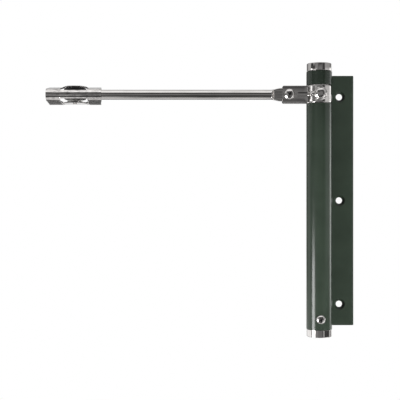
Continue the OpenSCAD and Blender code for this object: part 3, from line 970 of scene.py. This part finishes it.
class CLOSER_OT_strap(CloserOperator, bpy.types.Operator):
    """Bends the clamp strap round the spindle and presses its rib and screw seat"""

    bl_idname = "closer.strap"
    bl_label = "Clamp strap"

    thickness = 1.8
    half_gap = 2.0
    spacing = 0.4
    half_height = (STRAP_HIGH.z - STRAP_LOW.z) / 2

    def make(self, sizes):
        path = self.bent_path(sizes.strap_bend / MM + self.thickness / 2)
        along = np.gradient(path, axis=0)
        along /= np.linalg.norm(along, axis=1)[:, None]
        across = np.stack([along[:, 1], -along[:, 0]], 1)
        section = self.strip_section()
        points = [
            np.array([*(place + side * offset), z])
            for place, side in zip(path, across)
            for offset, z in section
        ]
        size = len(section)
        faces = grid_faces(len(path), size, wrap=True)
        faces += [tuple(range(size)), tuple(range(len(points) - size, len(points)))]
        strap = mesh_piece("clamp_strap_bent", points, faces)
        self.press(strap.data, sizes)
        strap = softened(combined(strap, "INTERSECT", self.ends()), 0.2, 40.0)
        strap.data.transform(cylinder_matrix(AXIS_X, AXIS_Y, ARM_Z))
        dressed(strap, "Bent chrome", "arm_head", "chrome_plate", "clamp_strap")

    def bent_path(self, bend):
        """The strip's middle line from above: front ear, hollow, band, hollow and back ear."""
        band = STRAP_R - self.thickness / 2
        ear = self.half_gap + self.thickness / 2
        centre_x = math.sqrt((band + bend) ** 2 - (ear + bend) ** 2)
        touch = math.atan2(ear + bend, centre_x)
        straight = np.arange(-EAR_REACH - 0.5, -centre_x, self.spacing)
        front = [(x, -ear) for x in straight]
        steps = 8
        for step in range(steps + 1):
            a = math.pi / 2 - (math.pi / 2 - touch) * step / steps
            front.append((-centre_x + bend * math.cos(a), -(ear + bend) + bend * math.sin(a)))
        sweep = math.tau - 2 * touch
        count = int(sweep * band / self.spacing)
        angles = [math.pi + touch + sweep * i / count for i in range(1, count)]
        wrap = [(band * math.cos(a), band * math.sin(a)) for a in angles]
        return np.array(front + wrap + [(x, -y) for x, y in reversed(front)])

    def strip_section(self):
        """The strip's outline, as offset and height: close points outside, few inside."""
        edge = 0.5
        outer = self.thickness / 2
        straight = self.half_height - edge
        close = np.linspace(-straight, straight, int(2 * straight / self.spacing))
        points = [(outer, z) for z in close]
        for x, z, first in ((1, 1, 0), (-1, 1, 90), (-1, -1, 180), (1, -1, 270)):
            if first == 180:
                points += [(-outer, v) for v in np.linspace(straight, -straight, 8)[1:-1]]
            for turn in (0, 30, 60, 90):
                a = math.radians(first + turn)
                out, up = x * (outer - edge), z * straight
                points.append((out + edge * math.cos(a), up + edge * math.sin(a)))
        return points[:-1] if len(points) % 2 else points

    def ends(self):
        """The blank that trims the ears' ends and rounds their corners."""
        corner, far = 1.2, 20.0
        inner, wide = -EAR_REACH + corner, self.half_height + 1
        half = [
            (far, -wide),
            (inner, -wide),
            (inner, -self.half_height),
            (-EAR_REACH, -self.half_height, corner),
        ]
        return prism("ends", rounded_corners(mirrored(half, 0.0)[::-1], 6), -far, far, "Y")

    def press(self, mesh, sizes):
        """Raises the rib across the front bend, and the flat seat under the clamp screw."""
        mesh.update()
        points, normals = np.empty((2, len(mesh.vertices) * 3))
        mesh.vertices.foreach_get("co", points)
        mesh.vertices.foreach_get("normal", normals)
        points = points.reshape(-1, 3) / MM
        # These are views, so they follow the points as they move
        x, y, z = points.T
        rib_start, rib_end, bow_end = (-19.5, -17.0), (-6.0, -4.5), (-14.0, -9.5)
        bow_height, seat_edge = 0.26, (5.0, 5.4)
        front_ear = (x < -8.0) & (y < -3.4)
        outer = front_ear | ((np.hypot(x, y) > STRAP_R - 0.4) & (y < 0))
        half = sizes.rib_width / MM / 2
        across = 1 - smooth_step(np.abs(z), half * 0.35, half)
        along = smooth_step(x, *rib_start) * (1 - smooth_step(x, *rib_end))
        rise = sizes.rib_height / MM * across * along * outer
        bow = bow_height * np.clip(1 - (z / self.half_height) ** 2, 0, 1)
        points[:, 1] -= bow * (1 - smooth_step(x, *bow_end)) * front_ear
        points += normals.reshape(-1, 3) * rise[:, None]
        pull = (1 - smooth_step(np.hypot(x, z), *seat_edge)) * (outer & (y < -5))
        points[:, 1] += (CLAMP_SEAT - y) * pull
        mesh.vertices.foreach_set("co", (points * MM).ravel())
        mesh.update()


def screw_profile(head_radius, head_height, rim, shank_radius, shank_length, tip=0.5):
    """A screw with a domed head, standing on its tip, its seat at 0. In millimetres."""
    crown = head_height - rim
    angles = np.linspace(math.pi / 2, 0, 20)[:-1]
    return [
        (0, -shank_length),
        (shank_radius - tip, -shank_length),
        (shank_radius, -shank_length + tip),
        (shank_radius, 0),
        (head_radius - 0.1, 0, 0.08),
        (head_radius, 0.1, 0.08),
        *((head_radius * math.sin(a), rim + crown * math.cos(a)) for a in angles),
        (0, head_height),
    ]


def mark_recess_shade(obj, place, radius, height, rim):
    """Marks the points that lie well below the dome of a screw's head, inside its recess, for
    painted shade.
    """
    marks = obj.data.attributes.new("soil", "FLOAT", "POINT")
    back = place.inverted()
    for vertex in obj.data.vertices:
        x, y, z = (back @ vertex.co) / MM
        away = math.hypot(x, y) / radius
        dome = rim + (height - rim) * math.sqrt(max(1 - away * away, 0.0))
        marks.data[vertex.index].value = float(away < 0.85 and 0 < z < dome - 0.35)


def cross_cutter(span, width, top, depth, turn):
    """A tapered cross-shaped cutter for a recess, its axis on Z."""
    arms = []
    shorter, thinner = 0.6, 0.8
    outline = [(-span, -width), (span, -width), (span, width), (-span, width)]
    for angle in (turn, turn + math.pi / 2):
        block = prism("cross", outline, top - depth, top + 1.0)
        for vertex in block.data.vertices:
            if vertex.co.z < (top - depth / 2) * MM:
                vertex.co.x *= shorter
                vertex.co.y *= thinner
        block.data.transform(Matrix.Rotation(angle, 4, "Z"))
        arms.append(block)
    return combined(arms[0], "UNION", arms[1])


class CLOSER_OT_screws(CloserOperator, bpy.types.Operator):
    """Turns the clamp, ear and lock screws, and the washer and nut behind the ears"""

    bl_idname = "closer.screws"
    bl_label = "Screws"

    def make(self, sizes):
        clamp, *_ = self.domed("clamp_screw", AXIS_X, ARM_Z, CLAMP_SEAT, 2.5)
        dressed(clamp, "Plated screws", "arm_head", "chrome_plate", "clamp_screw")
        self.ear_screw(-3.8, 2.3, sizes.thread_pitch / MM)
        cross = (2.1, 0.5, 1.5, 20)
        lock, *_ = self.domed("lock_screw", AXIS_X, LOCK_Z, -BARREL_R - 0.1, 2.0, cross)
        dressed(lock, "Plated screws", "locking_screw", "chrome_plate", "lock_screw")
        self.washer()
        self.nut()

    def domed(self, node, x, z, seat, shank, cross=None):
        """A domed screw, its place and its length. Without a cross it has a hexagon socket."""
        low, high = node_box(node)
        radius = node_radius(node)
        head = seat - (low.y - AXIS_Y)
        length = high.y - AXIS_Y - seat
        place = facing_matrix(x, AXIS_Y + seat, z)
        profile = screw_profile(radius, head, HEAD_RIM, shank, length)
        screw = turned(f"{node}_turned", profile, place)
        if cross:
            span, width, depth, turn = cross
            recess = cross_cutter(span, width, head, depth, math.radians(turn))
        else:
            key, depth = 3, 1.4
            recess = prism("socket", hexagon_points(key), head - depth, head + 1)
        recess.data.transform(place)
        screw = softened(combined(screw, "DIFFERENCE", recess), 0.12, 40.0)
        # Painted shade goes into the cross recess.
        if cross:
            mark_recess_shade(screw, place, radius, head, HEAD_RIM)
        return screw, place, length

    def ear_screw(self, seat, shank, pitch):
        cross = (2.3, 0.48, 2.2, 58)
        screw, place, length = self.domed("ear_screw", EAR_X, ARM_Z, seat, shank, cross)
        run = 6.0
        turns = run / pitch
        spiral = [
            (
                shank * math.cos(a),
                shank * math.sin(a),
                run - length - run * a / (turns * math.tau) + 0.2,
            )
            for a in np.linspace(0, turns * math.tau, int(turns * 32))
        ]
        thread = wound("thread", spiral, 0.3, 6)
        thread.data.transform(place)
        screw = joined("ear_screw_turned", screw, thread)
        dressed(screw, "Plated screws", "arm_head", "chrome_plate", "ear_screw")

    def washer(self):
        """The split spring washer, a strip bent to a ring that stays open."""
        inner, outer = 2.6, node_radius("ear_washer")
        middle = (outer + inner) / 2
        gap = math.radians(14)
        angles = np.linspace(gap / 2, math.tau - gap / 2, 72)
        ring = [(middle * math.cos(a), middle * math.sin(a), 0.0) for a in angles]
        washer = shaped(
            path_object("washer_path", ring),
            "ear_washer_split",
            "Bent strip",
            Thickness=(outer - inner) * MM,
            Height=(WASHER_HIGH.y - WASHER_LOW.y) * MM,
            Edge=0.15 * MM,
            Spacing=0.6 * MM,
        )
        middle_y = (WASHER_LOW.y + WASHER_HIGH.y) / 2
        washer.data.transform(facing_matrix(EAR_X, middle_y, ARM_Z))
        dressed(washer, "Zinc plate", "arm_head", "zinc_steel", "ear_washer")

    def nut(self):
        """The hexagon nut: its corners and the mouths of its bore are chamfered."""
        height = NUT_HIGH.y - NUT_LOW.y
        flats, chamfer, bore, mouth = 8.0, 0.45, 2.53, 3.0
        corner = flats / math.sqrt(3) + 0.05
        nut = prism("ear_nut_hex", hexagon_points(flats), 0.0, height)
        outside = mirrored([(0, 0), (flats / 2 - 0.1, 0), (corner, chamfer)], height)
        inside = mirrored([(0, -1), (mouth, -1), (mouth, 0.0), (bore, chamfer)], height)
        for operation, outline, sides in (("INTERSECT", outside, 96), ("DIFFERENCE", inside, 64)):
            nut = combined(nut, operation, turned("cutter", outline, Matrix.Identity(4), sides))
        nut = softened(nut, 0.12, 25.0)
        nut.data.transform(facing_matrix(EAR_X, NUT_HIGH.y, ARM_Z))
        dressed(nut, "Zinc plate", "arm_head", "zinc_steel", "ear_nut")


class CLOSER_OT_arm(CloserOperator, bpy.types.Operator):
    """Draws the arm's round rod into its flattened end"""

    bl_idname = "closer.arm"
    bl_label = "Arm rod"

    sides = 96
    rod = (ROD_HIGH.y - ROD_LOW.y) / 2
    flat_y = 1.95
    flat_z = (ROD_HIGH.z - ROD_LOW.z) / 2
    far = ROD_LOW.x - AXIS_X
    near = ROD_HIGH.x - AXIS_X
    widest = -EAR_REACH - 1.5
    root = widest - 8.0

    def make(self, sizes):
        far, near, root, sides = self.far, self.near, self.root, self.sides
        places = np.concatenate(
            [
                [far, far + 0.15, far + 0.5],
                np.arange(far + 2, root - 1, 6.0),
                np.linspace(root - 0.6, root + 4, 24),
                np.linspace(root + 4.5, near - 2.2, 20),
                np.linspace(near - 2, near - 0.3, 8),
                [near - 0.12, near],
            ]
        )
        points = list(np.concatenate([self.ring(x) for x in places]))
        faces = grid_faces(len(places), sides, wrap=True)
        last = (len(places) - 1) * sides
        hub_far, hub_near = len(points), len(points) + 1
        points += [np.array([far, 0, 0]), np.array([near, 0, 0])]
        for i in range(sides):
            faces.append((hub_far, i, (i + 1) % sides))
            faces.append((hub_near, last + (i + 1) % sides, last + i))
        rod = mesh_piece("arm_rod_drawn", points, faces)
        rod.data.transform(cylinder_matrix(AXIS_X, AXIS_Y, ARM_Z))
        dressed(rod, "Drawn chrome", "arm", "chrome_plate", "arm_rod", smooth_angle=28)

    def ring(self, x):
        """The outline at x from the axis: a circle on the rod, nearly a rectangle on the flat."""
        press = smooth_step(x, self.root - 0.2, self.root + 2.6)
        spread = smooth_step(x, self.root, self.widest)
        half_y = self.rod + (self.flat_y - self.rod) * press
        half_z = self.rod + (self.flat_z - self.rod) * spread
        power = 2 + 7 * press
        rounding, edge, taper = 2.0, 0.3, 0.5
        half_z -= rounding * np.clip((x - (self.near - rounding)) / rounding, 0, 1)
        cut = max(edge - (self.near - x), 0.0)
        shrink = 1 - 0.09 * max(1 - (x - self.far) / taper, 0.0)
        angles = np.linspace(0, math.tau, self.sides, endpoint=False)
        cos, sin = np.cos(angles), np.sin(angles)
        ys = np.sign(cos) * np.abs(cos) ** (2 / power) * (half_y - cut) * shrink
        zs = np.sign(sin) * np.abs(sin) ** (2 / power) * (half_z - cut) * shrink
        return np.stack([np.full(self.sides, x), ys, zs], 1)


class CLOSER_OT_yoke(CloserOperator, bpy.types.Operator):
    """Presses the roller yoke: a folded channel with a window and a lobe on each side"""

    bl_idname = "closer.yoke"
    bl_label = "Roller yoke"

    thickness = 1.0
    half_length = (YOKE_HIGH.x - YOKE_LOW.x) / 2
    window = 12.0
    corner = 1.5
    web = 3.3
    bend = AXIS_Y - YOKE_LOW.y - thickness / 2
    depth = YOKE_HIGH.y - AXIS_Y
    leg_start = 6.0
    end_slant = 2.2
    axle_y = AXLE_Y - AXIS_Y
    lobe_radius = 9.0
    # The upper side is 1 and the lower side -1
    lobe_height = {1: AXLE_HIGH.z - 0.5 - ARM_Z, -1: ARM_Z - AXLE_LOW.z - 0.6}
    opening = {1: math.radians(10), -1: math.radians(6)}
    web_count, gap_count, leg_count = 9, 14, 22

    def make(self, sizes):
        length, window, lobe = self.half_length, self.window, 8.0
        runs = [(-length, -window, 22), (-window, -lobe, 14), (-lobe, lobe, 33)]
        runs += [(lobe, window, 14), (window, length, 22)]
        columns = np.unique(np.round(np.concatenate([np.linspace(*run) for run in runs]), 4))
        points = []
        for x in columns:
            lower = [(y, -z) for y, z in self.half_section(x, -1)]
            points += [np.array([x, y, z]) for y, z in reversed(lower)]
            points += [np.array([x, y, z]) for y, z in self.half_section(x, 1)[1:]]
        width = len(points) // len(columns)
        first = self.leg_count - 1

        def in_window(row, column):
            x = (columns[row] + columns[row + 1]) / 2
            place = min(column, width - 2 - column)
            return abs(x) < window and first <= place < first + self.gap_count

        for point in points:
            slant = max(point[0] - window, 0.0) / (length - window)
            point[0] -= self.end_slant * slant * smooth_step(point[1], -3.0, self.depth)
        faces = grid_faces(len(columns), width, skip=in_window)
        shape = (len(columns), width)
        yoke = thick_sheet("roller_yoke_pressed", points, faces, shape, self.thickness)
        hole_r = node_radius("roller_axle") * 0.58
        hole = prism("axle_hole", circle_points(hole_r, 48, 0, self.axle_y), -20, 20)
        yoke = softened(combined(yoke, "DIFFERENCE", hole), 0.18, 50.0)
        yoke.data.transform(cylinder_matrix(AXLE_X, AXIS_Y, ARM_Z))
        dressed(yoke, "Pressed chrome", "arm", "chrome_plate", "roller_yoke")

    def half_section(self, x, side):
        """Half the sheet's middle line at x from the axle: web, shoulder, leg, as y and z."""
        away, bend, opening = abs(x), self.bend, self.opening[side]
        tangent_y = -bend * math.sin(opening)
        tangent_z = bend * math.cos(opening)
        into = min(max(away - self.window + self.corner, 0.0), self.corner)
        fillet = self.corner - math.sqrt(self.corner**2 - into**2)
        web_angle = math.asin(min((self.web + fillet) / bend, 0.99))
        flat = 1 - smooth_step(away, self.lobe_radius - 0.3, self.window + 0.2)
        front = self.leg_start - fillet
        if away < self.lobe_radius:
            lobe_front = self.axle_y - math.sqrt(self.lobe_radius**2 - away**2)
            front = min(self.leg_start, lobe_front)
        rear = self.depth - 0.1 - 0.8 * flat
        angles = np.linspace(0, web_angle, self.web_count)
        line = [(-bend * math.cos(a), bend * math.sin(a)) for a in angles]

        def leg_z(y):
            return tangent_z + (y - tangent_y) * math.tan(opening)

        arc_length = bend * (math.pi / 2 + opening - web_angle)
        leg_length = (front - tangent_y) / math.cos(opening)
        for step in range(1, self.gap_count):
            run = (arc_length + leg_length) * step / self.gap_count
            if run < arc_length:
                a = web_angle + run / bend
                line.append((-bend * math.cos(a), bend * math.sin(a)))
            else:
                y = tangent_y + (run - arc_length) * math.cos(opening)
                line.append((y, leg_z(y)))
        lobe_z = self.lobe_height[side] - self.thickness / 2
        for step in range(self.leg_count):
            y = front + (rear - front) * step / (self.leg_count - 1)
            line.append((y, float(leg_z(y) * (1 - flat) + lobe_z * flat)))
        return line


class CLOSER_OT_roller(CloserOperator, bpy.types.Operator):
    """Turns the nylon roller, its axle and the washer under it"""

    bl_idname = "closer.roller"
    bl_label = "Roller"

    def make(self, sizes):
        radius = node_radius("roller")
        low = ROLLER_LOW.z + 0.7
        height = ROLLER_HIGH.z + 0.4 - low
        bore = node_radius("roller_bush") + FIT
        hub, rim, dish, seam = bore + 1.0, radius - 2.1, 0.35, 0.12
        half = [
            (bore, height / 2),
            (bore, 0, 0.15),
            (hub, 0, 0.2),
            (hub + 0.3, dish, 0.2),
            (rim - 0.3, dish, 0.2),
            (rim, 0, 0.2),
            (radius, 0, 1.4),
            (radius, height / 2 - seam),
        ]
        profile = mirrored(half, height)
        profile.insert(len(half), (radius, height / 2))
        place = cylinder_matrix(AXLE_X, AXLE_Y, low)
        roller = turned("roller_moulded", profile, place, 128, 6)
        dressed(roller, "Moulded nylon", "roller_wheel", "black_nylon", "roller")

        head = 0.5
        shank = AXLE_HIGH.z - AXLE_LOW.z - head
        profile = screw_profile(node_radius("roller_axle"), head, 0.15, AXLE_R, shank, 0.3)
        place = cylinder_matrix(AXLE_X, AXLE_Y, AXLE_HIGH.z - head)
        pin = turned("roller_axle_riveted", profile, place, 96)
        dressed(pin, "Turned chrome", "arm", "chrome_plate", "roller_axle")

        foot = SPACER_LOW.z + 0.6
        thick = ROLLER_LOW.z + 0.6 - foot
        hole, wide = AXLE_R + FIT, node_radius("axle_washer")
        profile = mirrored([(hole, thick / 2), (hole, 0, 0.1), (wide, 0, 0.3)], thick)
        place = cylinder_matrix(AXLE_X, AXLE_Y, foot)
        spacer = turned("axle_washer_turned", profile, place, 96)
        dressed(spacer, "Zinc plate", "arm", "zinc_steel", "axle_washer")


# The studio

# Soft panels and dark flags that polished metal mirrors. Each has the middle and half width of its
# azimuth, the middle and half height of its elevation, the softness of its edges, and its level.
# Azimuth 0 is straight in front of the flange and grows towards the free edge. All are degrees.
# A panel at 180 is drawn at -180 too, because the azimuth jumps from one to the other there.
PANELS = [
    ("ceiling", 0, 200, 83, 39, 8, 0.8),
    ("ground", 0, 200, -85, 22, 8, 0.85),
    ("back_wall", 180, 42, 0, 50, 8, 0.2),
    ("back_rail", 180, 42, -15.0, 1.3, 1.0, 1.2),
    ("back_gap", 180, 42, -20.5, 2.6, 1.2, 0.06),
    ("back_sill", -167, 8, -7, 3, 2, 0.8),
    ("ceiling_lamp", 0, 75, 62, 12, 6, 1.35),
    ("back_wall_high", 180, 26, 32, 24, 8, 0.55),
    ("back_corner", 146, 17, 0, 50, 6, 0.95),
    ("left_high", -88, 42, 34, 21, 8, 0.75),
    ("left_low", -88, 38, -36, 22, 8, 0.95),
    ("right_high", 82, 36, 34, 21, 8, 0.6),
    ("right_low", 80, 34, -36, 22, 8, 1.3),
    ("left_card_high", -111, 21, 10, 14, 6, 0.62),
    ("left_card_low", -118, 34, -13, 6, 2, 1.25),
    ("left_card_middle", -107, 13, -4.5, 2.5, 3, 0.95),
    ("right_card_high", 78, 32, 10, 14, 9, 0.42),
    ("right_card_low", 107, 11, -12, 12, 6, 0.6),
    ("camera_left", -28, 17, 2, 15, 12, 0.3),
    ("camera_side", 2, 22, 0, 16, 14, 0.2),
    ("yoke_sky", -11, 4, 38, 9, 6, 0.34),
    ("yoke_flag", -11, 4, 15, 5, 4, 0.09),
    ("yoke_card", -11, 4, -19, 8, 6, 0.36),
    ("rod_flag", -8, 34, -72, 8, 3, 0.06),
    ("yoke_ground", -17, 8, -60, 8, 6, 0.8),
    ("yoke_nadir", -60, 30, -74, 8, 5, 0.9),
    ("ear_band", 6, 11, 6.4, 2.2, 4, 0.28),
    ("flat_flag", 4.6, 1.15, 6.7, 1.3, 0.6, 0.11),
    ("cap_flag", -76, 8, 12, 2.4, 1.5, 0.03),
    ("low_right_card", 38, 8, -43, 7, 4, 1.2),
    ("ear_flag_high", 6, 11, 14, 2, 3, 0.07),
    ("ear_flag_low", 6, 11, 1, 1.2, 2, 0.08),
    ("slit", 37, 4, -15, 10, 3, 0.7),
    ("right_band", 77, 27, 1.5, 6.3, 2, 0.76),
    ("upright_strip", 117, 15, -1.0, 6.4, 1, 3.0),
    ("upright_strip_top", 117, 15, 7.0, 1.4, 1, 1.6),
    ("left_fill", -58, 13, 6.8, 0.7, 0.5, 0.35),
    ("left_slit", -82, 8, 6.8, 0.8, 0.5, 2.4),
    ("left_slit_front", -38, 7, 6.8, 0.7, 0.5, 0.7),
]
WHITE = (1.0, 1.0, 1.0, 1.0)


class CLOSER_OT_stage(bpy.types.Operator):
    """Sets up the floor, the backdrop, the lights and the camera"""

    bl_idname = "closer.stage"
    bl_label = "Studio"

    def execute(self, context):
        studio = context.scene.closer_studio
        self.camera(context.scene, studio)
        self.world(context.scene, studio)
        self.lamps(studio)
        self.floor(studio)
        context.scene.view_settings.view_transform = "Standard"
        return {"FINISHED"}

    def camera(self, scene, studio):
        data = bpy.data.cameras.new("camera")
        data.lens = studio.focal_length
        data.sensor_width = 36.0
        data.clip_end = 20.0
        camera = add_object("camera", data)
        middle_x, middle_z = -0.1210, 0.00045
        camera.location = (middle_x, AXIS_Y * MM - studio.distance, middle_z)
        camera.rotation_euler = (math.pi / 2, 0, 0)
        scene.camera = camera

    def world(self, scene, studio):
        """White for the camera, the panels for what the metal mirrors, and an even fill light."""
        world = bpy.data.worlds.new("studio")
        world.use_nodes = True
        world.node_tree.nodes.clear()
        nodes = Nodes(world.node_tree)
        way = nodes.apart(nodes.add("ShaderNodeTexCoord").out("Generated"))
        x, y, z = way.out("X"), way.out("Y"), way.out("Z")
        azimuth = x.maths("ARCTAN2", x, -y) * (180 / math.pi)
        elevation = z.maths("ARCSINE", z) * (180 / math.pi)
        # Between the panels it is nearly dark
        level = 0.06
        for _, turn, half_turn, rise, half_rise, edge, strength in PANELS:
            tall = abs(elevation - rise).ramp(half_rise + edge / 2, half_rise - edge / 2)
            for middle in (180, -180) if turn == 180 else (turn,):
                side = abs(azimuth - middle).ramp(half_turn + edge / 2, half_turn - edge / 2)
                mask = side * tall
                level = level * (1 - mask) + strength * mask
        rays = nodes.add("ShaderNodeLightPath")
        seen, glossy = rays.out("Is Camera Ray"), rays.out("Is Glossy Ray")
        light = level * glossy + studio.fill * (1 - glossy)
        strength = seen + light * (1 - seen)
        background = nodes.add("ShaderNodeBackground", {"Color": WHITE, "Strength": strength})
        nodes.add("ShaderNodeOutputWorld", {"Surface": background})
        scene.world = world

    def lamps(self, studio):
        """The softboxes. Chrome mirrors only the first one."""
        tube = Vector((AXIS_X, AXIS_Y, -60.0)) * MM
        for name, place, size, energy, aim in (
            ("low_left_softbox", (-0.55, -0.32, -0.29), (0.3, 0.44), studio.lamp, tube),
            ("overhead_softbox", (0.1, -0.55, 0.75), (0.8, 0.8), 1.2, (-0.08, -0.01, 0.0)),
            ("low_right_softbox", (0.2, -0.3, -0.22), (0.15, 0.15), 1.1, (0.0, 0.0, -0.1)),
        ):
            data = bpy.data.lights.new(name, "AREA")
            data.shape = "RECTANGLE"
            data.size, data.size_y = size
            data.energy = energy
            lamp = add_object(name, data)
            lamp.location = place
            lamp.visible_glossy = name == "low_left_softbox"
            way = Vector(aim) - lamp.location
            lamp.rotation_euler = way.to_track_quat("-Z", "Y").to_euler()

    def floor(self, studio):
        """White paper that fades into the backdrop, and that chrome doesn't mirror."""
        reach, thickness = 1600.0, 2
        drop = -studio.floor_drop / MM
        outline = [(-reach, -reach), (reach, -reach), (reach, reach), (-reach, reach)]
        floor = prism("floor", outline, drop - thickness, drop)
        nodes = new_material("pale_floor")
        place = nodes.apart(nodes.add("ShaderNodeTexCoord").out("Object"))
        along, across = place.out("X") + 0.12, place.out("Y")
        away = (along * along + across * across) ** 0.5
        dull, pale = (0.84, 0.84, 0.83, 1), (0.87, 0.87, 0.86, 1)
        paper = nodes.mix_colour(nodes.noise(900.0, 2.0), dull, pale)
        diffuse = nodes.add("ShaderNodeBsdfDiffuse", {"Color": paper, "Roughness": 0.5})
        white = nodes.add("ShaderNodeEmission", {"Color": WHITE, "Strength": 1.0})
        clear = nodes.add("ShaderNodeBsdfTransparent")
        rays = nodes.add("ShaderNodeLightPath")
        fade = (0.45 + 0.55 * away.ramp(0.08, 0.42)) * rays.out("Is Camera Ray")
        shown = nodes.add("ShaderNodeMixShader", {0: fade, 1: diffuse, 2: white})
        upright = nodes.apart(nodes.add("ShaderNodeNewGeometry").out("Normal")).out("Z")
        glossy = rays.out("Is Glossy Ray")
        hidden = glossy.maths("MAXIMUM", glossy, upright < 0.5)
        surface = nodes.add("ShaderNodeMixShader", {0: hidden, 1: shown, 2: clear})
        nodes.add("ShaderNodeOutputMaterial", {"Surface": surface})
        floor.data.materials.append(bpy.data.materials["pale_floor"])


class CLOSER_PT_sidebar(bpy.types.Panel):
    """Lists the closer's pieces and its sizes, colours and studio"""

    bl_idname = "CLOSER_PT_sidebar"
    bl_label = "Spring Door Closer"
    bl_space_type = "VIEW_3D"
    bl_region_type = "UI"
    bl_category = "Door Closer"

    def draw(self, context):
        scene = context.scene
        column = self.layout.column(align=True)
        for step in STEPS:
            column.operator(step.bl_idname)
        for group in (scene.closer_shape, scene.closer_colours, scene.closer_studio):
            box = self.layout.box()
            for name in group.__annotations__:
                box.prop(group, name)


STEPS = (
    CLOSER_OT_barrel,
    CLOSER_OT_caps,
    CLOSER_OT_works,
    CLOSER_OT_strap,
    CLOSER_OT_screws,
    CLOSER_OT_arm,
    CLOSER_OT_yoke,
    CLOSER_OT_roller,
    CLOSER_OT_stage,
)
SETTINGS = {
    "closer_shape": CloserShapeSettings,
    "closer_colours": CloserColourSettings,
    "closer_studio": CloserStudioSettings,
}


def register():
    for group in SETTINGS.values():
        bpy.utils.register_class(group)
    for name, group in SETTINGS.items():
        setattr(bpy.types.Scene, name, bpy.props.PointerProperty(type=group))
    for step in STEPS:
        bpy.utils.register_class(step)
    bpy.utils.register_class(CLOSER_PT_sidebar)


def unregister():
    bpy.utils.unregister_class(CLOSER_PT_sidebar)
    for step in reversed(STEPS):
        bpy.utils.unregister_class(step)
    for name in SETTINGS:
        delattr(bpy.types.Scene, name)
    for group in reversed(SETTINGS.values()):
        bpy.utils.unregister_class(group)


def main():
    register()
    for step in STEPS:
        group, action = step.bl_idname.split(".")
        getattr(getattr(bpy.ops, group), action)()


if __name__ == "__main__":
    main()
